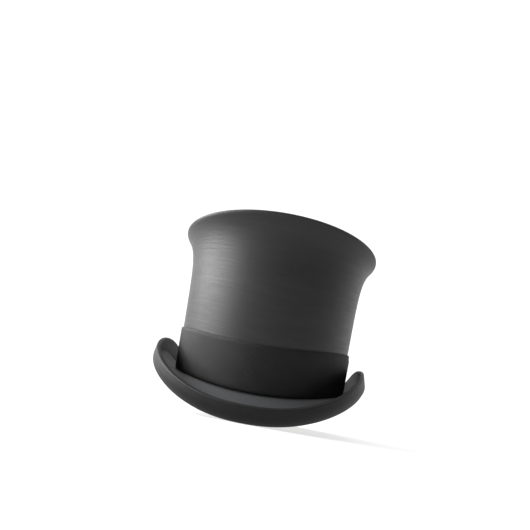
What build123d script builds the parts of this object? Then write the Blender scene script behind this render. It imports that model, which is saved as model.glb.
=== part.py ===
from build123d import *
from math import asin, atan, cos, degrees, exp, radians, sin, tan
import os

# A bell-crowned top hat. Millimetres, +Z up, the wearer faces -Y, so +X is the
# wearer's left. The origin is on the surface that the hat stands on, below the
# middle of the crown. The hat rests on the front and back dips of its brim.

# ---- driving dimensions -------------------------------------------------
# crown, measured on the outside of the plush
half_width = 88.0  # side to side, at the foot of the crown
half_length = 105.0  # front to back, at the foot of the crown
crown_height = 157.0  # mean foot to tip
wall_spread = 9.0  # how much wider the wall stands at the top than at the foot
bell_flare = 15.5  # further spread of the bell at the very top
bell_reach = 14.4  # height over which the bell opens, as a decay length
edge_round = 5.0  # rounding where the bell turns into the tip
foot_saddle = 15.0  # how much higher the foot sits at the sides than at the ends

# brim, along its upper face and outwards from the foot of the crown
end_droop = 49.0  # degrees below level, front and back
side_droop = -6.0  # degrees below level at the sides, where it leaves upwards
end_apron = 25.0  # straight stretch before the curl, front and back
side_apron = 5.0
end_curl_radius = 9.5
side_curl_radius = 14.0
end_rim_angle = 80.0  # degrees above level at the rim
side_rim_angle = 106.0
end_lip = 3.0  # straight stretch after the curl
side_lip = 10.5
dip_breadth = 2.4  # above 2, the brim stays low for longer on both sides of each dip

# thicknesses
air = 0.15  # glue line between layers
shell_thick = 1.6  # stiffened linen of crown, tip and brim
plush_thick = 0.9
brim_cloth = 0.6
ribbon_thick = 1.6  # doubled ribbon of the hat band
binding_thick = 0.6
lining_thick = 0.4
tape_thick = 0.4
leather_thick = 1.0

# trimmings
band_height = 43.0
bow_behind = 30.0  # how far the knot of the bow is behind the middle of the side
bow_half_length = 34.0
bow_half_height = 19.0
bow_waist = 11.0
bow_thick = 1.2
knot_half_width = 8.0
binding_width = 12.5
sweatband_height = 44.0
reed_size = 1.6
lining_tuck = 34.0  # height above the foot where the lining starts
tape_height = 11.0
stitch_count = 72
stitch_length = 3.6
stitch_thick = 0.4
small_bow_half_length = 12.0
small_bow_half_height = 5.5

# ---- where each layer of the crown wall lies, inwards from the plush ----
shell_skin = plush_thick + air
shell_lining = shell_skin + shell_thick
tape_skin = shell_lining + air
sweat_skin = tape_skin + tape_thick + air
sweat_lining = sweat_skin + leather_thick

# ---- where each layer of the brim lies, below its upper face ------------
board_top = brim_cloth + air
board_bottom = board_top + shell_thick
under_top = board_bottom + air
under_bottom = under_top + brim_cloth

# ---- heights ------------------------------------------------------------
droop = radians(end_droop)
end_dip = end_apron * sin(droop) + end_curl_radius * (1 - cos(droop)) + under_bottom
foot_height = end_dip + foot_saddle / 2  # mean height of the foot of the crown
cover_top = crown_height - plush_thick - air  # the rest are above the mean foot
board_seat = cover_top - shell_thick - air
lining_seat = board_seat - lining_thick - air

# ---- shared outlines ----------------------------------------------------
level_count = 12
section_step = 15  # degrees between sections of the brim
below_foot = -2 * foot_saddle
past_tip = 2 * crown_height


def spread(height):
    """Growth of the crown's half widths at a height above its mean foot."""
    bell = bell_flare * exp(-(crown_height - height) / bell_reach)
    above_shoulder = max(0.0, height - crown_height + edge_round) / edge_round
    rounding = edge_round * (1 - (1 - above_shoulder**2) ** 0.5)
    return wall_spread * height / crown_height + bell - rounding


def levels(low, high):
    """Heights from low to high above the mean foot, closer together at the bell."""
    shoulder = crown_height - edge_round
    top = min(high, shoulder)
    heights = []
    if low < top:
        heights = [top - (top - low) * (1 - k / level_count) ** 2 for k in range(level_count)]
        heights.append(top)
    if high > shoulder:
        first = asin(max(0.0, low - shoulder) / edge_round)
        last = asin((high - shoulder) / edge_round)
        start = 1 if heights else 0
        heights += [shoulder + edge_round * sin(first + (last - first) * k / 3) for k in range(start, 4)]
    return heights


def oval_body(inset, low, high):
    """Solid oval column with the crown's outline, moved in by inset."""
    with BuildPart() as body:
        for height in levels(low, high):
            grow = spread(height) - inset
            with BuildSketch(Plane.XY.offset(foot_height + height)):
                Ellipse(half_width + grow, half_length + grow)
        loft()
    return body.part


def saddle_slab(inset, bottom, top):
    """Slab between two copies of the saddle that the foot of the crown follows."""
    reach = 1.5 * half_length
    side_rise = foot_saddle / 2 / (half_width - inset) ** 2
    end_fall = foot_saddle / 2 / (half_length - inset) ** 2
    edge_rise = side_rise * reach**2

    with BuildPart() as slab:
        for k in range(-2, 3):
            y = k * reach / 2
            base = foot_height - end_fall * y**2
            low = base + bottom
            high = base + top
            with BuildSketch(Plane.XZ.offset(-y)):
                with BuildLine():
                    Bezier((-reach, low + edge_rise), (0, low - edge_rise), (reach, low + edge_rise))
                    Line((reach, low + edge_rise), (reach, high + edge_rise))
                    Bezier((reach, high + edge_rise), (0, high - edge_rise), (-reach, high + edge_rise))
                    Line((-reach, high + edge_rise), (-reach, low + edge_rise))
                make_face()
        loft()
    return slab.part


def brim_shape(turn):
    """Droop, apron, curl radius, rim angle and lip of the brim at a turn round the crown."""
    side = abs(sin(turn)) ** dip_breadth
    pairs = [
        (radians(end_droop), radians(side_droop)),
        (end_apron, side_apron),
        (end_curl_radius, side_curl_radius),
        (radians(end_rim_angle), radians(side_rim_angle)),
        (end_lip, side_lip),
    ]
    return [at_end + (at_side - at_end) * side for at_end, at_side in pairs]


def brim_plane(turn):
    """Plane across the brim: its x runs outwards and its y runs up from the foot."""
    rise = foot_saddle * (sin(turn) ** 2 - 0.5)
    width = half_width + spread(rise)
    length = half_length + spread(rise)
    foot = Vector(width * sin(turn), -length * cos(turn), foot_height + rise)
    outwards = Vector(sin(turn) / width, -cos(turn) / length, 0).normalized()
    return Plane(origin=foot, x_dir=outwards, z_dir=outwards.cross(Vector(0, 0, 1)))


def curl_points(turn, depth, curl_start):
    """Corners of one face of the curl, depth below the upper face of the brim.

    curl_start is how far round the curl the face begins, in radians.
    """
    drop, apron, radius, rim, lip = brim_shape(turn)
    centre = Vector(apron * cos(drop) + radius * sin(drop), -apron * sin(drop) + radius * cos(drop))

    def on_curl(angle):
        return centre + Vector(sin(angle), -cos(angle)) * (radius + depth)

    start = on_curl(curl_start - drop)
    middle = on_curl((curl_start - drop + rim) / 2)
    end = on_curl(rim)
    return start, middle, end, end + Vector(cos(rim), sin(rim)) * lip


def draw_layer(turn, top, bottom, inner):
    """Cross-section of one layer of the brim, from the foot of the crown to the rim."""
    drop = brim_shape(turn)[0]
    upper = curl_points(turn, top, 0)
    lower = curl_points(turn, bottom, 0)
    upper_kink = Vector(-top * tan(drop / 2), -top)
    lower_kink = Vector(-bottom * tan(drop / 2), -bottom)
    upper_inner = Vector(-inner, -top)
    lower_inner = Vector(-inner, -bottom)

    with BuildLine() as outline:
        Polyline(upper_inner, upper_kink, upper[0])
        ThreePointArc(*upper[:3])
        Polyline(upper[2], upper[3], lower[3], lower[2])
        ThreePointArc(lower[2], lower[1], lower[0])
        Polyline(lower[0], lower_kink, lower_inner, upper_inner)
    return outline.line


def draw_binding(turn):
    """Cross-section of the ribbon folded over the rim."""
    drop, apron, radius, rim, lip = brim_shape(turn)
    curl_start = rim + drop - (binding_width - lip) / radius
    faces = [
        curl_points(turn, depth, curl_start)
        for depth in (-air - binding_thick, -air, under_bottom + air, under_bottom + air + binding_thick)
    ]
    beyond = Vector(cos(rim), sin(rim))
    outer_top, inner_top, inner_bottom, outer_bottom = faces
    outer_tips = [face[3] + beyond * (air + binding_thick) for face in (outer_top, outer_bottom)]
    inner_tips = [face[3] + beyond * air for face in (inner_top, inner_bottom)]

    with BuildLine() as outline:
        ThreePointArc(*outer_top[:3])
        Polyline(outer_top[2], *outer_tips, outer_bottom[2])
        ThreePointArc(outer_bottom[2], outer_bottom[1], outer_bottom[0])
        Line(outer_bottom[0], inner_bottom[0])
        ThreePointArc(*inner_bottom[:3])
        Polyline(inner_bottom[2], inner_tips[1], inner_tips[0], inner_top[2])
        ThreePointArc(inner_top[2], inner_top[1], inner_top[0])
        Line(inner_top[0], outer_top[0])
    return outline.line


def brim_half(draw, *arguments):
    """Front half of a ring round the brim, lofted through its cross-sections.

    The loft runs one section past each side, so that it crosses the middle plane
    square, and is then cut there.
    """
    last = 90 // section_step + 1
    with BuildPart() as half:
        for k in range(-last, last + 1):
            turn = radians(k * section_step)
            with BuildSketch(brim_plane(turn)):
                add(draw(turn, *arguments))
                make_face()
        loft()
        split(bisect_by=Plane.XZ, keep=Keep.TOP)
    return half.part


def wall_ring(skin, lining, bottom, top, high):
    """Ring of the crown's wall between two insets.

    Its lower edge runs bottom above the foot. Its upper edge runs top above the
    foot, or is level at high above the mean foot, whichever is lower.
    """
    outside = oval_body(skin, below_foot, high)
    inside = oval_body(lining, below_foot, high)
    between = saddle_slab((skin + lining) / 2, bottom, top)
    with BuildPart() as ring:
        add(outside)
        add(inside, mode=Mode.SUBTRACT)
        add(between, mode=Mode.INTERSECT)
    return ring.part


def low_ring(skin, lining, bottom, top):
    """Ring of the wall that stays near the foot, with both edges along the saddle."""
    return wall_ring(skin, lining, bottom, top, top + foot_saddle)


def bow_outline(half_length, half_height, waist, corner):
    """Two loops of a flat bow, pinched in the middle."""
    with BuildSketch() as bow:
        with BuildLine():
            Polyline(
                (half_length, half_height),
                (0, waist),
                (-half_length, half_height),
                (-half_length, -half_height),
                (0, -waist),
                (half_length, -half_height),
                close=True,
            )
        make_face()
        fillet(bow.vertices().group_by(Axis.X)[0], corner)
        fillet(bow.vertices().group_by(Axis.X)[-1], corner)
    return bow.sketch


def inner_place(turn, height, inset):
    """Place on the inside of the wall: its x runs round the crown, its z points inwards."""
    level = foot_saddle * (sin(turn) ** 2 - 0.5) + height
    width = half_width + spread(level) - inset
    length = half_length + spread(level) - inset
    spot = Vector(width * sin(turn), -length * cos(turn), foot_height + level)
    along = Vector(width * cos(turn), length * sin(turn), 0).normalized()
    return Plane(origin=spot, x_dir=along, z_dir=Vector(0, 0, 1).cross(along))


def finish(piece, name):
    piece.label = name
    export_step(piece, f"parts/{name}.step")


os.makedirs("parts", exist_ok=True)

# ---- crown: stiffened linen ---------------------------------------------
side_shell_ring = wall_ring(shell_skin, shell_lining, air - board_top, past_tip, board_seat)
with BuildPart() as crown_side_shell:
    add(side_shell_ring)

tip_disc = oval_body(shell_skin, board_seat + air, cover_top)
with BuildPart() as crown_tip_board:
    add(tip_disc)

# the tape that ties the brim board to the crown, inside the foot
tape_ring = low_ring(tape_skin, tape_skin + tape_thick, -board_bottom, tape_height)
with BuildPart() as brim_joint_tape:
    add(tape_ring)

# ---- crown: plush --------------------------------------------------------
cover_ring = wall_ring(0, plush_thick, air, past_tip, cover_top)
with BuildPart() as side_cover:
    add(cover_ring)

cover_disc = oval_body(0, cover_top + air, crown_height)
with BuildPart() as tip_cover:
    add(cover_disc)

# ---- brim ----------------------------------------------------------------
upper_cover_half = brim_half(draw_layer, 0, brim_cloth, plush_thick)
with BuildPart() as brim_upper_cover:
    add(upper_cover_half)
    mirror(about=Plane.XZ)

board_half = brim_half(draw_layer, board_top, board_bottom, shell_lining)
with BuildPart() as brim_board:
    add(board_half)
    mirror(about=Plane.XZ)

under_cover_half = brim_half(draw_layer, under_top, under_bottom, shell_lining)
with BuildPart() as brim_under_cover:
    add(under_cover_half)
    mirror(about=Plane.XZ)

binding_half = brim_half(draw_binding)
with BuildPart() as brim_binding:
    add(binding_half)
    mirror(about=Plane.XZ)

# ---- hat band and its flat bow, on the wearer's left, a little to the back -----
band_skin = -air - ribbon_thick
band_ring = low_ring(band_skin, -air, air, band_height)
with BuildPart() as hat_band:
    add(band_ring)

bow_skin = band_skin - air - bow_thick
bow_ring = low_ring(bow_skin, band_skin - air, 0, band_height)
bow_face = bow_outline(bow_half_length, bow_half_height, bow_waist, bow_waist / 2)
side_plane = Plane.YZ.offset(half_width / 2)
bow_rise = foot_saddle * (0.5 - (bow_behind / half_length) ** 2)
bow_tilt = degrees(atan(-2 * foot_saddle * bow_behind / half_length**2))
bow_middle = Location((bow_behind, foot_height + bow_rise + band_height / 2), (0, 0, bow_tilt))
with BuildPart() as band_bow:
    with BuildSketch(side_plane):
        with Locations(bow_middle):
            add(bow_face)
    extrude(amount=half_width)
    add(bow_ring, mode=Mode.INTERSECT)

knot_ring = low_ring(bow_skin - air - bow_thick, bow_skin - air, 2 * air + binding_thick, band_height)
with BuildPart() as band_bow_knot:
    with BuildSketch(side_plane):
        with Locations(bow_middle):
            Rectangle(2 * knot_half_width, 2 * band_height)
    extrude(amount=half_width)
    add(knot_ring, mode=Mode.INTERSECT)

# ---- sweatband ------------------------------------------------------------
sweat_ring = low_ring(sweat_skin, sweat_lining, air, sweatband_height)
with BuildPart() as sweatband:
    add(sweat_ring)

reed_ring = low_ring(sweat_skin, sweat_skin + reed_size, -reed_size, 0)
with BuildPart() as sweatband_reed:
    add(reed_ring)

stitch_height = 2 * reed_size
stitch_inset = sweat_lining + air + stitch_thick / 2
stitch_turns = [radians(360 * (k + 0.5) / stitch_count) for k in range(stitch_count)]
with BuildPart() as sweatband_stitches:
    with Locations(*[inner_place(turn, stitch_height, stitch_inset) for turn in stitch_turns]):
        Box(stitch_length, stitch_thick, stitch_thick)

# a bow at the back of the sweatband, flat across the curve of the leather
back_radius = (half_width - sweat_lining) ** 2 / (half_length - sweat_lining)
bow_stand_off = small_bow_half_length**2 / 2 / back_radius + 2 * air
small_bow_plane = inner_place(radians(180), sweatband_height / 2, sweat_lining + bow_stand_off)
small_bow_waist = small_bow_half_height / 3
small_bow = bow_outline(small_bow_half_length, small_bow_half_height, small_bow_waist, small_bow_waist)
with BuildPart() as sweatband_bow:
    with BuildSketch(small_bow_plane):
        add(small_bow)
    extrude(amount=leather_thick)
    with BuildSketch(small_bow_plane):
        Rectangle(2 * small_bow_waist, 3 * small_bow_waist)
    extrude(amount=2 * leather_thick)

# ---- lining ----------------------------------------------------------------
lining_skin = tape_skin
side_lining_ring = wall_ring(lining_skin, lining_skin + lining_thick, lining_tuck, past_tip, lining_seat)
with BuildPart() as side_lining:
    add(side_lining_ring)

lining_disc = oval_body(lining_skin, lining_seat + air, board_seat)
with BuildPart() as tip_lining:
    add(lining_disc)

finish(crown_side_shell.part, "crown_side_shell")
finish(crown_tip_board.part, "crown_tip_board")
finish(brim_joint_tape.part, "brim_joint_tape")
finish(side_cover.part, "side_cover")
finish(tip_cover.part, "tip_cover")
finish(brim_upper_cover.part, "brim_upper_cover")
finish(brim_board.part, "brim_board")
finish(brim_under_cover.part, "brim_under_cover")
finish(brim_binding.part, "brim_binding")
finish(hat_band.part, "hat_band")
finish(band_bow.part, "band_bow")
finish(band_bow_knot.part, "band_bow_knot")
finish(sweatband.part, "sweatband")
finish(sweatband_reed.part, "sweatband_reed")
finish(sweatband_stitches.part, "sweatband_stitches")
finish(sweatband_bow.part, "sweatband_bow")
finish(side_lining.part, "side_lining")
finish(tip_lining.part, "tip_lining")
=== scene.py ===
from math import cos, pi, radians, sin

import bmesh
import bpy
import numpy as np
from mathutils import Matrix, Vector


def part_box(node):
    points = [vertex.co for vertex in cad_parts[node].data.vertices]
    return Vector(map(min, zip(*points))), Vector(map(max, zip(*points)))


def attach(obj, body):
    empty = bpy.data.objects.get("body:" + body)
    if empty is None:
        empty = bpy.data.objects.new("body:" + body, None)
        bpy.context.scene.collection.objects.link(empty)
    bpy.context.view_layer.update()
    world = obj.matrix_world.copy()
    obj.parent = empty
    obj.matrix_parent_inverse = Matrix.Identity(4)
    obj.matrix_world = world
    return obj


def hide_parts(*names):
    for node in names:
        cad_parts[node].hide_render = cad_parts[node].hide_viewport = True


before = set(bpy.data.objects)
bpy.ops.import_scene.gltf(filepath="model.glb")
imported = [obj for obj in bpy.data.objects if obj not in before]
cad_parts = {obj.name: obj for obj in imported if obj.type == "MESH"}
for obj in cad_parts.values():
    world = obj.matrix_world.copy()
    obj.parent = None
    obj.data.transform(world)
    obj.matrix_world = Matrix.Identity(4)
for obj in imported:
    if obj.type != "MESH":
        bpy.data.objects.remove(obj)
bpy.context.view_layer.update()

# A bell-crowned top hat. Metres, +Z up, the wearer faces -Y, so +X is the wearer's left.
# A turn is an angle round the crown: 0 is the front and a quarter turn is the wearer's left.
# The cloth pieces repeat the CAD design's outlines as dense meshes, with their edges, ribs,
# seams, stitches and folds, and each stands in the place of its CAD node.

# ---- driving dimensions of the crown ------------------------------------
HALF_WIDTH = 0.088
HALF_LENGTH = 0.105
CROWN_HEIGHT = 0.157
WALL_SPREAD = 0.009
BELL_FLARE = 0.0155
BELL_REACH = 0.0144
EDGE_ROUND = 0.005
FOOT_SADDLE = 0.015
FOOT_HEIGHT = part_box("tip_cover")[1].z - CROWN_HEIGHT  # mean height of the foot of the crown

# ---- driving dimensions of the brim: at the ends, then at the sides ------
DROOP = radians(49), radians(-6)
APRON = 0.025, 0.005
CURL_RADIUS = 0.0095, 0.014
RIM_ANGLE = radians(80), radians(106)
LIP = 0.003, 0.0105
DIP_BREADTH = 2.4  # above 2, the brim stays low for longer on both sides of each dip

# ---- thicknesses ----------------------------------------------------------
AIR = 0.00015
NEAR = 0.00003  # between cloth edges that press on the brim
PLUSH = 0.0009
BRIM_CLOTH = 0.0006
BOARD = 0.0016
RIBBON = 0.0016
BINDING = 0.0006
LEATHER = 0.001
LINING = 0.0004
TAPE = 0.0004
UNDER_TOP = BRIM_CLOTH + BOARD + 2 * AIR
UNDER_BOTTOM = UNDER_TOP + BRIM_CLOTH
TAPE_SKIN = PLUSH + BOARD + 2 * AIR
SWEAT_SKIN = TAPE_SKIN + TAPE + AIR
SWEAT_LINING = SWEAT_SKIN + LEATHER

# ---- trimmings --------------------------------------------------------------
BAND_HEIGHT = 0.043
BINDING_WIDTH = 0.0125
SWEATBAND_HEIGHT = 0.044
REED = 0.0016
LINING_TUCK = 0.034
STITCH_COUNT = 72
STITCH_LENGTH = 0.0036
RIB_PITCH = 0.0011
BOW_BEHIND = 0.030  # from the middle of the wearer's left side
BOW_HALF_LENGTH = 0.034
BOW_HALF_HEIGHT = 0.019
BOW_WAIST = 0.011
BOW_THICK = 0.0012
KNOT_HALF_WIDTH = 0.008
MEAN_RADIUS = (HALF_WIDTH + HALF_LENGTH) / 2

# ---- heights above the mean foot ---------------------------------------------
COVER_TOP = CROWN_HEIGHT - PLUSH - AIR
LINING_SEAT = COVER_TOP - BOARD - LINING - 2 * AIR


# ==== shape of the crown and of the brim =======================================
def spread(height):
    """Growth of the crown's half widths at a height above its mean foot."""
    bell = BELL_FLARE * np.exp((height - CROWN_HEIGHT) / BELL_REACH)
    above = np.clip(height - CROWN_HEIGHT + EDGE_ROUND, 0, EDGE_ROUND) / EDGE_ROUND
    return WALL_SPREAD * height / CROWN_HEIGHT + bell - EDGE_ROUND * (1 - np.sqrt(1 - above**2))


def rise(turn):
    """How far the foot of the crown is above its mean height."""
    return FOOT_SADDLE * (np.sin(turn) ** 2 - 0.5)


def on_wall(turn, height, out):
    """Points at a height above the mean foot and a distance outside the plush."""
    grow = spread(height) + out
    x = (HALF_WIDTH + grow) * np.sin(turn)
    y = -(HALF_LENGTH + grow) * np.cos(turn)
    return np.stack(np.broadcast_arrays(x, y, FOOT_HEIGHT + height), -1)


def brim_shape(turn):
    """Droop, apron, curl radius, rim angle and lip at each turn."""
    side = np.abs(np.sin(turn)) ** DIP_BREADTH
    return [a + (b - a) * side for a, b in (DROOP, APRON, CURL_RADIUS, RIM_ANGLE, LIP)]


def on_brim(turn, across, up):
    """Points across the brim and up from the foot of the crown, at each turn."""
    height = rise(turn)
    width = HALF_WIDTH + spread(height)
    length = HALF_LENGTH + spread(height)
    outwards = np.stack([np.sin(turn) / width, -np.cos(turn) / length], -1)
    outwards /= np.linalg.norm(outwards, axis=-1, keepdims=True)
    x = width * np.sin(turn) + across * outwards[..., 0]
    y = -length * np.cos(turn) + across * outwards[..., 1]
    return np.stack(np.broadcast_arrays(x, y, FOOT_HEIGHT + height + up), -1)


def curl_face(turn, depth, start, arc_steps, lip_steps):
    """Across and up of the curl and lip, at a depth below the brim's upper face.

    start is how far round the curl the face begins, in radians.
    """
    drop, apron, radius, rim, lip = brim_shape(turn)
    centre = apron * np.cos(drop) + radius * np.sin(drop), radius * np.cos(drop) - apron * np.sin(drop)
    along = np.linspace(0, 1, arc_steps + 1)
    angle = (start - drop) * (1 - along) + rim * along
    across = centre[0] + np.sin(angle) * (radius + depth)
    up = centre[1] - np.cos(angle) * (radius + depth)
    out = np.linspace(0, 1, lip_steps + 1)[1:] * lip
    across_lip = across[:, -1:] + np.cos(rim) * out
    up_lip = up[:, -1:] + np.sin(rim) * out
    return np.hstack([across, across_lip]), np.hstack([up, up_lip])


def brim_face(turn, depth, inner):
    """Across and up of one whole face of the brim, from under the crown to the rim."""
    drop = brim_shape(turn)[0]
    curl_steps, lip_steps, apron_steps = 22, 5, 6
    across, up = curl_face(turn, depth, 0 * turn, curl_steps, lip_steps)
    kink = -depth * np.tan(drop / 2)
    along = np.linspace(0, 1, apron_steps + 1)[:-1]
    apron_across = kink + (across[:, :1] - kink) * along
    apron_up = -depth + (up[:, :1] + depth) * along
    flange_across = -inner + (kink + inner) * np.array([0.0, 0.5])
    flange_up = -depth + 0 * flange_across
    return np.hstack([flange_across, apron_across, across]), np.hstack([flange_up, apron_up, up])


# ==== meshes ===================================================================
def turns(count):
    return np.arange(count)[:, None] * 2 * pi / count


def make_object(name, points, faces):
    mesh = bpy.data.meshes.new(name)
    mesh.from_pydata([tuple(p) for p in points], [], faces)
    mesh.update()
    piece = bpy.data.objects.new(name, mesh)
    bpy.context.scene.collection.objects.link(piece)
    return piece


def smooth_outwards(piece):
    """Consistent outward normals and smooth shading."""
    shape = bmesh.new()
    shape.from_mesh(piece.data)
    bmesh.ops.recalc_face_normals(shape, faces=shape.faces)
    shape.to_mesh(piece.data)
    shape.free()
    piece.data.shade_smooth()


def write_attribute(piece, name, vectors):
    """Keeps a vector for each vertex, which the materials read."""
    attribute = piece.data.attributes.new(name, "FLOAT_VECTOR", "POINT")
    attribute.data.foreach_set("vector", np.asarray(vectors, np.float32).ravel())


def write_weave(piece, along, across):
    """Distance along and across a ribbon at each vertex, for its ribs."""
    along, across = np.broadcast_arrays(along, across)
    write_attribute(piece, "weave", np.stack([along, across, 0 * along], -1).reshape(-1, 3))


def weave_ring(piece, turn, rib_count, across):
    """Ribs round a ring. They are kept at the face corners, so that the last faces can run on."""
    write_weave(piece, turn / (2 * pi) * rib_count * RIB_PITCH, across)
    length = rib_count * RIB_PITCH
    mesh = piece.data
    weave = np.zeros(len(mesh.vertices) * 3, np.float32)
    mesh.attributes["weave"].data.foreach_get("vector", weave)
    weave = weave.reshape(-1, 3)
    corner = np.zeros(len(mesh.loops), np.int32)
    mesh.loops.foreach_get("vertex_index", corner)
    at_corner = weave[corner].reshape(-1, 4, 3)
    first = at_corner[:, :, 0]
    wraps = first.max(1) - first.min(1) > length / 2
    at_corner[wraps, :, 0] += np.where(first[wraps] < length / 2, length, 0)
    mesh.attributes.remove(mesh.attributes["weave"])
    attribute = mesh.attributes.new("weave", "FLOAT_VECTOR", "CORNER")
    attribute.data.foreach_set("vector", at_corner.ravel())


def ring(name, sections):
    """Mesh through the closed cross-sections of a ring, one for each turn.

    The attribute nap is the place round the ring and the distance across the section.
    """
    count, size = sections.shape[:2]
    index = np.arange(count * size).reshape(count, size)
    after = np.roll(index, -1, 0)
    faces = np.stack([index, np.roll(index, -1, 1), np.roll(after, -1, 1), after], -1)
    piece = make_object(name, sections.reshape(-1, 3), faces.reshape(-1, 4).tolist())
    step = np.linalg.norm(np.diff(sections, axis=1), axis=-1)
    run = np.hstack([np.zeros((count, 1)), np.cumsum(step, 1)])
    turn = np.arctan2(sections[:, :1, 0] / HALF_WIDTH, -sections[:, :1, 1] / HALF_LENGTH)
    place = np.broadcast_arrays(MEAN_RADIUS * np.sin(turn), -MEAN_RADIUS * np.cos(turn), run)
    write_attribute(piece, "nap", np.stack(place, -1))
    smooth_outwards(piece)
    return piece


def disc(name, low, high):
    """Closed disc from two faces, each one ring of points for each radius, centre first."""
    rows = np.concatenate([low[1:], high[:0:-1]])
    size, count = rows.shape[:2]
    index = np.arange(size * count).reshape(size, count)
    after = np.roll(index, -1, 1)
    quads = np.stack([index[:-1], index[1:], after[1:], after[:-1]], -1).reshape(-1, 4).tolist()
    bottom, top = size * count, size * count + 1
    fans = [(bottom, int(a), int(b)) for a, b in zip(index[0], after[0])]
    fans += [(top, int(b), int(a)) for a, b in zip(index[-1], after[-1])]
    points = np.concatenate([rows.reshape(-1, 3), [low[0].mean(0)], [high[0].mean(0)]])
    piece = make_object(name, points, quads + fans)
    flat = points[:, :2]
    radius = np.linalg.norm(flat, axis=1)
    around = flat / np.maximum(radius, 1e-6)[:, None] * MEAN_RADIUS
    write_attribute(piece, "nap", np.column_stack([around, radius]))
    smooth_outwards(piece)
    return piece


def patch(name, front, back, along, across):
    """Closed ribbon between two grids of points, at distances along and across it."""
    columns, rows = front.shape[:2]
    index = np.arange(columns * rows).reshape(columns, rows)
    quads = np.stack([index[:-1, :-1], index[1:, :-1], index[1:, 1:], index[:-1, 1:]], -1).reshape(-1, 4)
    edge = np.concatenate([index[0, :], index[1:, -1], index[-1, -2::-1], index[-2:0:-1, 0]])
    after = np.roll(edge, -1)
    side = np.stack([edge, after, after + columns * rows, edge + columns * rows], -1)
    faces = np.concatenate([quads, quads[:, ::-1] + columns * rows, side]).tolist()
    piece = make_object(name, np.concatenate([front.reshape(-1, 3), back.reshape(-1, 3)]), faces)
    write_weave(piece, [along, along], [across, across])
    smooth_outwards(piece)
    return piece


def strip_section(length_steps, thickness, inner):
    """Outline of a strip's cross-section with round edges.

    Gives for each point its share of the way up, its offset along the strip and its
    distance outwards.
    """
    radius = thickness / 2
    edge_steps = 4
    up = np.linspace(0, 1, length_steps + 1)
    half = np.linspace(0, pi, edge_steps + 1)[1:-1]
    share = np.concatenate([up, np.ones(edge_steps - 1), up[::-1], np.zeros(edge_steps - 1)])
    offset = np.concatenate([0 * up, radius * np.sin(half), 0 * up, -radius * np.sin(half)])
    # the edges are pulled in by the radius, so that the strip keeps its full height
    offset = offset - radius * (2 * share - 1)
    edge = radius * np.cos(half)
    out = np.concatenate([0 * up + radius, edge, 0 * up - radius, -edge]) + inner + radius
    return share, offset, out


def wall_strip(turn, bottom, top, thickness, inner, length_steps):
    """Turns, heights and distances outwards of a strip on the wall, bottom to top."""
    share, offset, out = strip_section(length_steps, thickness, inner)
    height = bottom * (1 - share) + top * share + offset
    return turn + 0 * height, height, out + 0 * height


def keep_shape(node, material_made):
    """A CAD node that stays as it is and gets a better material."""
    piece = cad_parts[node]
    piece.data.materials.clear()
    piece.data.materials.append(material_made)


def dress(piece, material_made, slot, *nodes):
    """Gives a new piece its material and its body, and hides the CAD nodes that it replaces. The slot is not
    used.
    """
    piece.data.materials.append(material_made)
    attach(piece, "root")
    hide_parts(*nodes)


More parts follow.
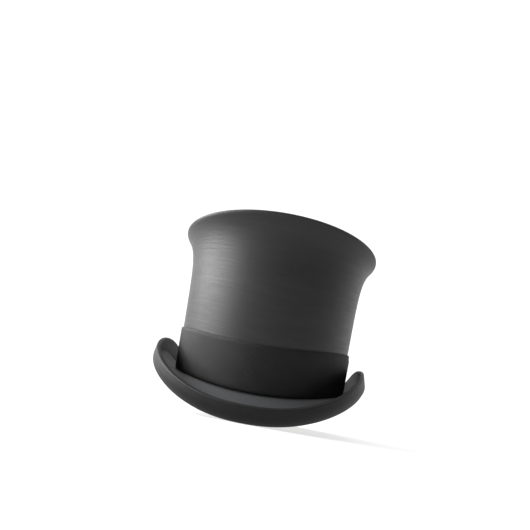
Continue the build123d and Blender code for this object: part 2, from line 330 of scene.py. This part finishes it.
# ==== materials ==================================================================
class Shader:
    """A Principled material and short names for the nodes behind it."""

    def __init__(self, name, **settings):
        self.material = bpy.data.materials.new(name)
        self.material.use_nodes = True
        self.tree = self.material.node_tree
        self.tree.nodes.clear()
        self.surface = self.tree.nodes.new("ShaderNodeBsdfPrincipled")
        output = self.tree.nodes.new("ShaderNodeOutputMaterial")
        self.tree.links.new(self.surface.outputs["BSDF"], output.inputs["Surface"])
        for socket, value in settings.items():
            self.surface.inputs[socket.replace("_", " ").title().replace("Ior", "IOR")].default_value = value

    def add(self, kind, inputs, **settings):
        node = self.tree.nodes.new(kind)
        for name, value in settings.items():
            setattr(node, name, value)
        for key, value in inputs.items():
            if isinstance(value, bpy.types.NodeSocket):
                self.tree.links.new(value, node.inputs[key])
            else:
                node.inputs[key].default_value = value
        return node

    def place(self, name=None):
        """A vertex attribute, or the place in the row frame."""
        if name:
            return self.add("ShaderNodeAttribute", {}, attribute_name=name).outputs["Vector"]
        return self.add("ShaderNodeTexCoord", {}).outputs["Object"]

    def stretched(self, vector, scale):
        return self.add("ShaderNodeMapping", {"Vector": vector, "Scale": scale}).outputs["Vector"]

    def noise(self, vector, scale=1.0, detail=3.0, roughness=0.55):
        values = {"Vector": vector, "Scale": scale, "Detail": detail, "Roughness": roughness}
        return self.add("ShaderNodeTexNoise", values).outputs["Fac"]

    def cells(self, vector, scale):
        values = {"Vector": vector, "Scale": scale}
        return self.add("ShaderNodeTexVoronoi", values, feature="SMOOTH_F1").outputs["Distance"]

    def axis(self, vector, name):
        return self.add("ShaderNodeSeparateXYZ", {"Vector": vector}).outputs[name]

    def math(self, operation, a, b=0.0):
        return self.add("ShaderNodeMath", {0: a, 1: b}, operation=operation).outputs["Value"]

    def span(self, value, low, high, to_low=0.0, to_high=1.0):
        values = {"Value": value, "From Min": low, "From Max": high, "To Min": to_low, "To Max": to_high}
        return self.add("ShaderNodeMapRange", values).outputs["Result"]

    def ribs(self, run, pitch):
        """Rounded ridges across a run, from 0 to 1."""
        wave = self.math("SINE", self.math("MULTIPLY", run, 2 * pi / pitch))
        # half the wave and a half: the third input is a half where it isn't set
        return self.math("MULTIPLY_ADD", wave, 0.5)

    def mix(self, share, low, high):
        """A colour between low and high, each a colour of three numbers or a socket."""
        factor_socket, low_socket, high_socket, colour_socket = 0, 6, 7, 2
        inputs = {factor_socket: share}
        for key, value in ((low_socket, low), (high_socket, high)):
            inputs[key] = value if isinstance(value, bpy.types.NodeSocket) else (*value, 1.0)
        return self.add("ShaderNodeMix", inputs, data_type="RGBA").outputs[colour_socket]

    def bump(self, height, distance, strength, normal=None):
        values = {"Height": height, "Distance": distance, "Strength": strength}
        if normal:
            values["Normal"] = normal
        return self.add("ShaderNodeBump", values).outputs["Normal"]

    def finish(self, colour, roughness, normal):
        for socket, value in (("Base Color", colour), ("Roughness", roughness), ("Normal", normal)):
            if value is not None:
                self.tree.links.new(value, self.surface.inputs[socket])
        return self.material


def plush(name, dark, light):
    """Short silk pile, brushed round the hat, with darker and lighter strokes."""
    shader = Shader(name, sheen_weight=0.07, sheen_roughness=0.35, specular_ior_level=0.3)
    nap = shader.place("nap")
    strokes = shader.noise(shader.stretched(nap, (22, 22, 430)), detail=6.0, roughness=0.68)
    broad = shader.noise(shader.stretched(nap, (9, 9, 70)))
    pile = shader.noise(shader.stretched(nap, (900, 900, 4500)), detail=2.0)
    shade = shader.math("ADD", shader.math("MULTIPLY", strokes, 0.6), shader.math("MULTIPLY", broad, 0.4))
    colour = shader.mix(shader.span(shade, 0.3, 0.7), dark, light)
    rough = shader.span(strokes, 0.3, 0.7, 0.42, 0.56)
    coarse = shader.bump(strokes, distance=0.0003, strength=0.6)
    fine = shader.bump(pile, distance=0.00008, strength=0.6, normal=coarse)
    return shader.finish(colour, rough, fine)


def grosgrain(name, ridge):
    """Ribbed ribbon. The ribs run across it, so the run is along it."""
    shader = Shader(name, specular_ior_level=0.2)
    weave = shader.place("weave")
    rib = shader.ribs(shader.axis(weave, "X"), RIB_PITCH)
    yarn = shader.ribs(shader.axis(weave, "Y"), RIB_PITCH / 3)
    wear = shader.noise(shader.place(), 60.0, detail=4.0)
    colour = shader.mix(shader.span(wear, 0.3, 0.75), (0.0026, 0.0024, 0.0024), (0.0050, 0.0046, 0.0045))
    fuzz = shader.noise(shader.place(), 2600.0, detail=2.0)
    rough = shader.span(fuzz, 0.3, 0.7, 0.42, 0.58)
    height = shader.math("ADD", shader.math("MULTIPLY", rib, ridge), shader.math("MULTIPLY", yarn, 0.25))
    ribbed = shader.bump(height, distance=0.00012, strength=0.8)
    fine = shader.bump(fuzz, distance=0.00005, strength=0.5, normal=ribbed)
    return shader.finish(colour, rough, fine)


def under_cloth():
    """Fine napped wool on the underside of the brim."""
    shader = Shader("under_cloth", sheen_weight=0.03, sheen_roughness=0.5, specular_ior_level=0.15)
    nap = shader.place("nap")
    fibre = shader.noise(shader.stretched(nap, (500, 500, 1100)), detail=5.0, roughness=0.65)
    mottle = shader.noise(shader.place(), 35.0)
    colour = shader.mix(shader.span(mottle, 0.3, 0.7), (0.0035, 0.0033, 0.0033), (0.0070, 0.0066, 0.0066))
    rough = shader.span(fibre, 0.3, 0.7, 0.6, 0.85)
    return shader.finish(colour, rough, shader.bump(fibre, distance=0.00015, strength=0.8))


def linen():
    """Open plain weave, stiffened with amber shellac."""
    shader = Shader("stiffened_linen", specular_ior_level=0.4)
    place = shader.place()
    pitch = 0.0011
    warp = shader.ribs(shader.math("ADD", shader.axis(place, "X"), shader.axis(place, "Y")), pitch)
    weft = shader.ribs(shader.axis(place, "Z"), pitch)
    weave = shader.math("MAXIMUM", warp, weft)
    soaked = shader.noise(place, 55.0, detail=4.0)
    colour = shader.mix(shader.span(soaked, 0.35, 0.7), (0.36, 0.26, 0.14), (0.20, 0.12, 0.05))
    rough = shader.span(soaked, 0.35, 0.7, 0.75, 0.4)
    return shader.finish(colour, rough, shader.bump(weave, distance=0.0002, strength=0.8))


def cotton_tape():
    """Herringbone cotton."""
    shader = Shader("cotton_tape", specular_ior_level=0.3)
    place = shader.place()
    herringbone, pitch = 0.0022, 0.0008
    zigzag = shader.math("PINGPONG", shader.axis(place, "Z"), herringbone)
    run = shader.math("ADD", shader.math("ADD", shader.axis(place, "X"), shader.axis(place, "Y")), zigzag)
    twill = shader.ribs(run, pitch)
    shade = shader.noise(place, 90.0)
    colour = shader.mix(shade, (0.52, 0.47, 0.38), (0.62, 0.58, 0.48))
    rough = shader.span(shade, 0.3, 0.7, 0.8, 0.92)
    return shader.finish(colour, rough, shader.bump(twill, distance=0.0001, strength=0.7))


def leather(name, light, dark, grain_scale):
    """Smooth sheepskin with fine pores, darker where hands and heads have polished it."""
    shader = Shader(name, specular_ior_level=0.5, coat_weight=0.08, coat_roughness=0.3)
    place = shader.place()
    pores = shader.cells(place, grain_scale)
    creases = shader.noise(shader.stretched(place, (1, 1, 3)), 260.0, detail=5.0, roughness=0.6)
    patina = shader.noise(place, 28.0)
    colour = shader.mix(shader.span(patina, 0.3, 0.75), light, dark)
    colour = shader.mix(shader.span(pores, 0.0, 0.25, 0.35, 0.0), colour, dark)
    rough = shader.span(patina, 0.3, 0.75, 0.52, 0.36)
    pored = shader.bump(pores, distance=0.00012, strength=0.7)
    creased = shader.bump(creases, distance=0.00012, strength=0.5, normal=pored)
    return shader.finish(colour, rough, creased)


def thread(name, light, dark):
    """Two twisted strands, with painted shade: the colour is darker in the grooves between the strands, where
    their bump is low.
    """
    shader = Shader(name, specular_ior_level=0.4, sheen_weight=0.1)
    place = shader.place()
    slant = shader.math("ADD", shader.axis(place, "Z"), shader.axis(place, "X"))
    pitch = 0.0005
    strand = shader.ribs(shader.math("ADD", slant, shader.axis(place, "Y")), pitch)
    # painted shade: the dark colour goes into the grooves between the strands
    colour = shader.mix(strand, dark, light)
    rough = shader.span(strand, 0.0, 1.0, 0.75, 0.5)
    return shader.finish(colour, rough, shader.bump(strand, distance=0.00008, strength=0.8))


def satin():
    """Ivory satin, with long floats of warp that catch the light."""
    shader = Shader("lining_satin", sheen_weight=0.15, sheen_roughness=0.3, anisotropic=0.5)
    nap = shader.place("nap")
    floats = shader.noise(shader.stretched(nap, (2400, 2400, 130)), roughness=0.6)
    age = shader.noise(shader.place(), 22.0)
    colour = shader.mix(shader.span(age, 0.3, 0.75), (0.72, 0.69, 0.62), (0.58, 0.53, 0.43))
    rough = shader.span(floats, 0.3, 0.7, 0.26, 0.42)
    return shader.finish(colour, rough, shader.bump(floats, distance=0.00006, strength=0.6))


def studio_paper():
    """Pale seamless paper, which isn't seen from below."""
    shader = Shader("studio_paper", roughness=0.9, specular_ior_level=0.1, emission_strength=0.69)
    shader.surface.inputs["Emission Color"].default_value = (1.0, 1.0, 1.0, 1.0)
    fibre = shader.noise(shader.place(), 900.0)
    colour = shader.mix(fibre, (0.25, 0.25, 0.25), (0.27, 0.27, 0.27))
    made = shader.finish(colour, None, shader.bump(fibre, distance=0.0001, strength=0.2))
    clear = shader.add("ShaderNodeBsdfTransparent", {}).outputs["BSDF"]
    behind = shader.add("ShaderNodeNewGeometry", {}).outputs["Backfacing"]
    both = shader.add("ShaderNodeMixShader", {0: behind, 1: shader.surface.outputs["BSDF"], 2: clear})
    output = next(n for n in shader.tree.nodes if n.type == "OUTPUT_MATERIAL")
    shader.tree.links.new(both.outputs["Shader"], output.inputs["Surface"])
    return made


def flag_cloth():
    """Black studio cloth."""
    shader = Shader("flag_cloth", specular_ior_level=0.05, sheen_weight=0.02)
    fibre = shader.noise(shader.place(), 700.0)
    colour = shader.mix(fibre, (0.012, 0.012, 0.012), (0.022, 0.022, 0.022))
    rough = shader.span(fibre, 0.3, 0.7, 0.9, 1.0)
    return shader.finish(colour, rough, shader.bump(fibre, distance=0.0002, strength=0.4))


# ==== plush of the crown =========================================================
SEAM_TURN = radians(205)  # the cover's one seam is behind, on the wearer's right
SEAM_SLANT = radians(14)  # over the height of the crown
SEAM_WIDTH = 0.0007
SEAM_DEPTH = 0.00045
RIDGE_AWAY = 2.2  # from the seam to the ridge on each side of it, in widths of the seam
RIDGE_WIDTH = 0.9  # in widths of the seam
RIDGE_SHARE = 0.4  # of the seam's depth
TIP_DISH = 0.0005  # how far the plush of the tip sinks in the middle


def seam_turns():
    """Even turns, and closer ones at the seam."""
    close = SEAM_TURN + np.linspace(-1, 1, 17) * 4 * SEAM_WIDTH / MEAN_RADIUS
    even = turns(480)[:, 0]
    return np.unique(np.concatenate([even, close]))[:, None]


def side_plush(cloth):
    """The side cover, with its steps closer together towards the bell."""
    turn = seam_turns()
    lower = rise(turn) + NEAR
    shoulder = CROWN_HEIGHT - EDGE_ROUND
    wall_steps, edge_steps = 60, 12
    straight = np.linspace(0, 1, wall_steps + 1)
    heights_up = lower + (shoulder - lower) * (1 - (1 - straight) ** 1.6)
    last = np.arcsin((COVER_TOP - shoulder) / EDGE_ROUND)
    edge = shoulder + EDGE_ROUND * np.sin(np.linspace(0, 1, edge_steps + 1)[1:] * last)
    heights_up = np.hstack([heights_up, np.broadcast_to(edge, (len(turn), edge_steps))])
    height = np.hstack([heights_up, heights_up[:, ::-1]])
    size = heights_up.shape[1]
    out = np.concatenate([np.zeros(size), np.full(size, -PLUSH)])
    slant = SEAM_SLANT * height / CROWN_HEIGHT
    seam = np.exp(-(((turn - SEAM_TURN) * MEAN_RADIUS / SEAM_WIDTH) ** 2))
    outer = np.concatenate([np.ones(size), np.zeros(size)])
    away = np.abs(turn - SEAM_TURN) * MEAN_RADIUS / SEAM_WIDTH
    ridge = np.exp(-(((away - RIDGE_AWAY) / RIDGE_WIDTH) ** 2))
    out = out - outer * (SEAM_DEPTH * seam - RIDGE_SHARE * SEAM_DEPTH * ridge)
    piece = ring("side_plush", on_wall(turn + slant, height, out))
    dress(piece, cloth, "plush", "side_cover")


def tip_plush(cloth):
    """The tip cover: a round edge, a slightly dished top and a flat underside."""
    turn = turns(240).T
    shoulder = CROWN_HEIGHT - EDGE_ROUND
    first = np.arcsin((COVER_TOP + AIR - shoulder) / EDGE_ROUND)
    edge = shoulder + EDGE_ROUND * np.sin(first + (pi / 2 - first) * np.linspace(0, 1, 8))
    rim_rings = [on_wall(turn, height, 0.0)[0] for height in edge]
    shares = np.linspace(0, 1, 25) ** 0.8
    flat = CROWN_HEIGHT + FOOT_HEIGHT
    top = []
    for share in shares[:-1]:
        level = rim_rings[-1] * share
        level[:, 2] = flat - TIP_DISH * (1 - share**2)
        top.append(level)
    top += rim_rings[::-1]
    bottom = []
    for share in np.linspace(0, 1, 8)[:-1]:
        level = rim_rings[0] * share
        level[:, 2] = FOOT_HEIGHT + COVER_TOP + AIR
        bottom.append(level)
    piece = disc("tip_plush", np.array(bottom), np.array(top))
    dress(piece, cloth, "plush", "tip_cover")


# ==== brim ========================================================================
def brim_layer(name, turn, top, bottom, inner):
    upper = brim_face(turn, top, inner)
    lower = brim_face(turn, bottom, inner)
    across = np.hstack([upper[0], lower[0][:, ::-1]])
    up = np.hstack([upper[1], lower[1][:, ::-1]])
    return ring(name, on_brim(turn, across, up))


def brim_plush(cloth):
    # the cloth given here is the crown's plush painted lighter, as painted light on the brim's upper face
    piece = brim_layer("brim_plush", turns(480), 0, BRIM_CLOTH, PLUSH)
    dress(piece, cloth, "plush", "brim_upper_cover")


def brim_underside(cloth):
    piece = brim_layer("brim_underside", turns(480), UNDER_TOP, UNDER_BOTTOM, TAPE_SKIN - AIR)
    dress(piece, cloth, "under_cloth", "brim_under_cover")


def rim_binding(ribbon):
    """The ribbon folded over the rim, with its stitches pulled in near both edges."""
    rib_count, stitch_count = 620, 230
    turn = turns(rib_count * 2)
    drop, _, radius, rim, lip = brim_shape(turn)
    start = rim + drop - (BINDING_WIDTH - lip) / radius

    def face(depth):
        curl_steps, lip_steps = 10, 4
        return curl_face(turn, depth, start, curl_steps, lip_steps)

    inner_top, outer_top = face(-AIR), face(-AIR - BINDING)
    inner_bottom, outer_bottom = face(UNDER_BOTTOM + AIR), face(UNDER_BOTTOM + AIR + BINDING)
    half = (UNDER_BOTTOM + 2 * AIR + 2 * BINDING) / 2
    middle_across = (outer_top[0][:, -1:] + outer_bottom[0][:, -1:]) / 2
    middle_up = (outer_top[1][:, -1:] + outer_bottom[1][:, -1:]) / 2
    angle = np.linspace(0, pi, 11)[1:-1]
    beyond = 0.0014  # how far the fold stands out from the rim

    def fold(reach, thick):
        out = reach * np.sin(angle)
        side = -thick * np.cos(angle)
        across = middle_across + np.cos(rim) * out + np.sin(rim) * side
        up = middle_up + np.sin(rim) * out - np.cos(rim) * side
        return across, up

    outside = fold(beyond, half)
    inside = fold(beyond - BINDING, half - BINDING)
    order = [outer_top, outside, tuple(x[:, ::-1] for x in outer_bottom)]
    order += [inner_bottom, tuple(x[:, ::-1] for x in inside), tuple(x[:, ::-1] for x in inner_top)]
    across = np.hstack([part[0] for part in order])
    up = np.hstack([part[1] for part in order])
    # each stitch draws the ribbon's outer face in, one step from its edge
    dent = 0.00028 * (0.5 + 0.5 * np.cos(turn * stitch_count))
    size = outer_top[0].shape[1]
    top_row, bottom_row = 1, 2 * size + len(angle) - 2
    up[:, [top_row]] -= dent
    across[:, [bottom_row]] -= dent * np.sin(rim)
    piece = ring("rim_binding", on_brim(turn, across, up))
    run = np.linspace(0, 2 * BINDING_WIDTH, across.shape[1])
    weave_ring(piece, turn, rib_count, run)
    dress(piece, ribbon, "ribbon", "brim_binding")


# ==== hat band and its bow =========================================================
def band_ribbon(ribbon):
    """The doubled ribbon round the foot of the crown, ribbed and slightly uneven."""
    rib_count = 560
    steps_per_rib = 4
    slack_depth, rib_depth = 0.00018, 0.00009
    turn = turns(rib_count * steps_per_rib)
    bottom = rise(turn) + NEAR
    top = rise(turn) + BAND_HEIGHT
    turn, height, out = wall_strip(turn, bottom, top, RIBBON, AIR, 14)
    outside = out > AIR + RIBBON / 2
    slack = slack_depth * np.sin(5 * turn + 1.0) * np.sin(pi * (height - bottom) / BAND_HEIGHT)
    out = out + outside * (rib_depth * np.cos(rib_count * turn) + slack)
    piece = ring("band_ribbon", on_wall(turn, height, out))
    weave_ring(piece, turn, rib_count, height - bottom)
    dress(piece, ribbon, "ribbon", "hat_band")


def wall_patch(name, half_length, inner, thickness, shape, steps):
    """A sheet over the hat band, on the wearer's left, wrapped on the crown's curve.

    shape(along, up) gives the half height there and how far the sheet stands out, with
    along from -1 to 1 and up from -1 to 1.
    """
    columns, rows = steps
    along = np.linspace(-1, 1, columns)[:, None]
    up = np.linspace(-1, 1, rows)
    tall, stand = shape(along, up)
    y = BOW_BEHIND + along * half_length + 0 * up
    height = FOOT_SADDLE * (0.5 - (y / HALF_LENGTH) ** 2) + BAND_HEIGHT / 2 + tall * up
    sides = []
    for out in (inner + thickness + stand, inner + 0 * stand):
        grow = spread(height) + out
        x = (HALF_WIDTH + grow) * np.sqrt(1 - (y / (HALF_LENGTH + grow)) ** 2)
        sides.append(np.stack([x, y, FOOT_HEIGHT + height], -1))
    front, back = sides
    piece = patch(name, front, back, y, height)
    soft = piece.modifiers.new("soft_edge", "BEVEL")
    soft.width = thickness * 0.3
    soft.segments = 2
    soft.limit_method = "ANGLE"
    soft.angle_limit = radians(50)
    return piece


def band_bow(ribbon):
    """Two flat loops, pinched in the middle, with soft folds that run out of the knot."""

    def shape(along, up):
        tall = BOW_WAIST + (BOW_HALF_HEIGHT - BOW_WAIST) * np.clip(np.abs(along) * 1.12, 0, 1) ** 0.8
        tall = tall * (1 - 0.10 * np.clip((np.abs(along) - 0.9) / 0.1, 0, 1) ** 2)
        loop = np.sin(pi * np.clip(np.abs(along), 0, 1)) ** 0.7
        folds = 0.0005 * np.cos(3.2 * pi * up) * np.exp(-4 * np.abs(along))
        return tall + 0 * up, loop * 0.0008 * (1 - 0.5 * up**2) + folds

    piece = wall_patch("side_bow", BOW_HALF_LENGTH, 2 * AIR + RIBBON, BOW_THICK, shape, (81, 41))
    dress(piece, ribbon, "ribbon", "band_bow")


def bow_knot(ribbon):
    """The ribbon that passes over the middle of the bow and the band, gathered in folds."""

    def shape(along, up):
        folds = 0.00035 * np.cos(4 * pi * along) * (1 - 0.4 * up**2)
        return BAND_HEIGHT / 2 - 0.0013 + 0 * along + 0 * up, 0.0004 + folds

    inner = 3 * AIR + RIBBON + BOW_THICK + 0.0009
    piece = wall_patch("side_bow_knot", KNOT_HALF_WIDTH, inner, BOW_THICK, shape, (49, 31))
    dress(piece, ribbon, "ribbon", "band_bow_knot")


# ==== inside of the hat ============================================================
def sweat_leather(skin):
    """The leather band, slightly wavy, with an upper edge that isn't quite even."""
    turn = turns(360)
    bottom = rise(turn) + AIR
    top = rise(turn) + SWEATBAND_HEIGHT + 0.0004 * np.sin(9 * turn)
    turn, height, out = wall_strip(turn, bottom, top, LEATHER, -SWEAT_LINING, 16)
    share = (height - bottom) / SWEATBAND_HEIGHT
    out = out - 0.0004 * np.sin(pi * share) * (0.5 + 0.5 * np.sin(7 * turn))
    piece = ring("sweat_leather", on_wall(turn, height, out))
    dress(piece, skin, "sweat_leather", "sweatband")


def reed_piping(skin):
    """A round cord covered with leather, puckered by its sewing."""
    turn = turns(720)
    angle = np.linspace(0, 2 * pi, 13)[:-1]
    pucker_count = 180
    radius = REED / 2 * (1 + 0.06 * np.cos(turn * pucker_count))
    height = rise(turn) - REED / 2 + radius * np.sin(angle)
    out = -SWEAT_SKIN - REED / 2 + radius * np.cos(angle)
    piece = ring("reed_piping", on_wall(turn, height, out))
    dress(piece, skin, "reed", "sweatband_reed")


def leather_stitches(twine):
    """Slanted stitches of waxed thread along the foot of the sweatband."""
    half = STITCH_LENGTH / 2
    steps, sides = 8, 8
    thread_radius, slant, stand = 0.00024, 0.0004, 0.0003
    angles = np.linspace(0, 2 * pi, sides + 1)[:-1]
    points, faces = [], []
    for turn in (np.arange(STITCH_COUNT) + 0.5) * 2 * pi / STITCH_COUNT:
        first = len(points)
        for step in np.linspace(-1, 1, steps + 1):
            arch = 1 - step**2
            spot = turn + step * half / MEAN_RADIUS
            thick = thread_radius * (0.35 + 0.65 * arch**0.5)
            for angle in angles:
                height = rise(turn) + 2 * REED + slant * step + thick * np.sin(angle)
                out = -SWEAT_LINING - stand * arch + thick * np.cos(angle)
                points.append(on_wall(spot, height, out))
        for row in range(first, first + sides * steps, sides):
            for j in range(sides):
                a, b = row + j, row + (j + 1) % sides
                faces.append((a, b, b + sides, a + sides))
        last = first + sides * steps
        faces.append(tuple(range(first, first + sides)))
        faces.append(tuple(range(last + sides - 1, last - 1, -1)))
    piece = make_object("leather_stitches", points, faces)
    smooth_outwards(piece)
    dress(piece, twine, "thread", "sweatband_stitches")


def small_bow(ribbon):
    """The little bow at the back of the sweatband: two puffed loops and a knot."""
    low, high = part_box("sweatband_bow")
    middle = (low + high) / 2
    half_length = (high.x - low.x) / 2
    half_height = (high.z - low.z) / 2
    face = high.y
    columns, rows = 49, 17
    along = np.linspace(-1, 1, columns)[:, None]
    up = np.linspace(-1, 1, rows)
    pinch = 0.35 + 0.65 * np.clip(np.abs(along) * 1.3, 0, 1) ** 0.9
    pinch = pinch * (1 - 0.25 * np.clip((np.abs(along) - 0.85) / 0.15, 0, 1) ** 2)
    tall = half_height * pinch
    deep = 0.0005 * np.sin(pi * np.abs(along)) ** 0.7 * (1 - up**2)
    knot = 0.0009 * np.exp(-((along / 0.13) ** 4))
    x = middle.x + half_length * along + 0 * up
    z = middle.z + tall * up
    front = np.stack([x, face - LEATHER - deep - knot * (1 - 0.3 * up**2), z], -1)
    back = np.stack([x, face + 0 * z, z], -1)
    piece = patch("small_bow", front, back, x, z)
    dress(piece, ribbon, "ribbon", "sweatband_bow")


def side_satin(cloth):
    """The side lining, in soft pleats, deepest above its middle and flat at both edges."""
    turn = turns(720)
    bottom = rise(turn) + LINING_TUCK
    share = np.linspace(0, 1, 49)
    height = bottom + (LINING_SEAT - bottom) * (1 - (1 - share) ** 1.4)
    pleat_count, pleat_depth = 40, 0.0009
    pleat = np.abs(np.sin(turn * pleat_count / 2)) ** 0.8 * np.sin(pi * share) ** 0.6
    front = -TAPE_SKIN - LINING - pleat_depth * pleat
    height = np.hstack([height, height[:, ::-1]])
    out = np.hstack([front + 0 * share, -TAPE_SKIN + 0 * front])
    piece = ring("side_satin", on_wall(turn, height, out))
    dress(piece, cloth, "lining_satin", "side_lining")


def tip_satin(cloth):
    """The lining of the tip, drawn in by its sewing at the edge and a little slack inside."""
    turn = turns(240).T
    rim_line = on_wall(turn, np.array(LINING_SEAT + AIR), -TAPE_SKIN)[0]
    roof = FOOT_HEIGHT + LINING_SEAT + AIR + LINING
    sag, pucker_depth, pucker_count = 0.0016, 0.0003, 48
    top, bottom = [], []
    for share in np.linspace(0, 1, 17):
        level = rim_line * share
        level[:, 2] = roof
        top.append(level.copy())
        pucker = pucker_depth * np.sin(turn[0] * pucker_count) * share**6
        level[:, 2] = roof - LINING - sag * (1 - share**4) + pucker
        bottom.append(level)
    piece = disc("tip_satin", np.array(bottom), np.array(top))
    dress(piece, cloth, "lining_satin", "tip_lining")


# ==== studio ========================================================================
def studio():
    """A pale paper floor that curves up into a dome all round."""
    floor_radius, cove = 1.5, 0.9
    wall_radius = floor_radius + cove
    angle = np.linspace(0, pi / 2, 17)
    line = [(radius, 0.0) for radius in np.linspace(0.05, floor_radius, 12)]
    line += [(floor_radius + cove * sin(a), cove * (1 - cos(a))) for a in angle[1:]]
    line += [(wall_radius * cos(a), cove + wall_radius * sin(a)) for a in angle[1:-1]]
    line += [(0.01, cove + wall_radius)]
    count = 96
    spin = np.arange(count) * 2 * pi / count
    points = [(r * cos(a), r * sin(a), z) for r, z in line for a in spin]
    faces = []
    for k in range(len(line) - 1):
        for j in range(count):
            after = (j + 1) % count
            faces.append((k * count + j, (k + 1) * count + j, (k + 1) * count + after, k * count + after))
    points.append((0.0, 0.0, 0.0))
    faces += [(len(points) - 1, j, (j + 1) % count) for j in range(count)]
    sweep = make_object("studio_sweep", points, faces)
    sweep.data.shade_smooth()
    sweep.data.materials.append(studio_paper())


def flag():
    """A dark screen in front and on the wearer's left, that keeps reflections off that side."""
    radius, foot, head, count = 1.3, 0.35, 1.3, 40
    turn = np.radians(np.linspace(-8, 100, count))
    rows = [np.stack([radius * np.sin(turn), -radius * np.cos(turn), 0 * turn + z], -1) for z in (foot, head)]
    faces = [(k, k + 1, k + 1 + count, k + count) for k in range(count - 1)]
    screen = make_object("studio_flag", np.concatenate(rows), faces)
    screen.data.materials.append(flag_cloth())
    screen.visible_camera = False


def softbox(name, place, size, watts):
    """A rectangular light that faces the middle of the hat and isn't seen itself."""
    target = (0.0, 0.0, 0.1)
    lamp = bpy.data.lights.new(name, "AREA")
    lamp.shape = "RECTANGLE"
    lamp.size, lamp.size_y = size
    lamp.energy = watts
    holder = bpy.data.objects.new(name, lamp)
    bpy.context.scene.collection.objects.link(holder)
    holder.location = place
    holder.rotation_euler = (Vector(target) - Vector(place)).to_track_quat("-Z", "Y").to_euler()
    holder.visible_camera = False


def lights():
    softbox("left_softbox", (-2.0, -0.15, 0.75), size=(2.2, 1.4), watts=155.0)
    softbox("top_softbox", (-0.2, -0.2, 1.7), size=(1.4, 1.4), watts=14.0)
    world = bpy.data.worlds.new("studio")
    world.use_nodes = True
    background = world.node_tree.nodes["Background"]
    background.inputs["Color"].default_value = (1.0, 1.0, 1.0, 1.0)
    background.inputs["Strength"].default_value = 0.93
    bpy.context.scene.world = world
    bpy.context.scene.view_settings.view_transform = "Standard"


def camera():
    """A low camera before the hat, tipped so that the hat leans to the right."""
    azimuth, elevation, roll = radians(2.8), radians(-9.3), radians(10.0)
    distance, lens, sensor = 0.55, 32.95, 36.0
    aim = Vector((0, 0, FOOT_HEIGHT + 0.07))
    sight = Vector((0.0063, -0.1271, -1))  # where the camera sees the aim point
    back = Vector((sin(azimuth) * cos(elevation), -cos(azimuth) * cos(elevation), sin(elevation)))
    side = Vector((cos(azimuth), sin(azimuth), 0))
    above = back.cross(side)
    right = side * cos(roll) + above * sin(roll)
    upright = above * cos(roll) - side * sin(roll)
    swing = Vector((0, 0, -1)).rotation_difference(sight).to_matrix()
    axes = swing @ Matrix((right, upright, back))
    data = bpy.data.cameras.new("camera")
    data.lens = lens
    data.sensor_width = sensor
    data.clip_start = 0.01
    data.clip_end = 20
    holder = bpy.data.objects.new("camera", data)
    bpy.context.scene.collection.objects.link(holder)
    holder.matrix_world = Matrix.Translation(aim + back * distance) @ axes.transposed().to_4x4()
    bpy.context.scene.camera = holder


# ==== the hat =========================================================================
plush_made = plush("crown_plush", dark=(0.0060, 0.0060, 0.0065), light=(0.0150, 0.0150, 0.0160))
# the brim's plush is the crown's plush painted lighter: painted light on the brim's upper face, which faces
# the light from above
brim_plush_painted_lighter = plush("brim_plush", dark=(0.020, 0.021, 0.022), light=(0.034, 0.035, 0.037))
band_made = grosgrain("band_grosgrain", ridge=0.6)
binding_made = grosgrain("binding_grosgrain", ridge=1.0)
skin_made = leather("sweat_leather", light=(0.32, 0.17, 0.075), dark=(0.17, 0.08, 0.033), grain_scale=1500.0)
reed_made = leather("reed_leather", light=(0.11, 0.065, 0.038), dark=(0.05, 0.03, 0.018), grain_scale=2200.0)
# the thread's dark colour is painted shade for the grooves between its strands
twine_made = thread("waxed_thread", light=(0.66, 0.58, 0.46), dark=(0.42, 0.35, 0.25))
linen_made = linen()
satin_made = satin()

camera()
lights()
studio()
flag()

side_plush(plush_made)
tip_plush(plush_made)
brim_plush(brim_plush_painted_lighter)
brim_underside(under_cloth())
rim_binding(binding_made)
band_ribbon(band_made)
band_bow(band_made)
bow_knot(band_made)
sweat_leather(skin_made)
reed_piping(reed_made)
leather_stitches(twine_made)
small_bow(grosgrain("small_bow_grosgrain", ridge=1.0))
side_satin(satin_made)
tip_satin(satin_made)

for node in ("crown_side_shell", "crown_tip_board", "brim_board"):
    keep_shape(node, linen_made)
keep_shape("brim_joint_tape", cotton_tape())
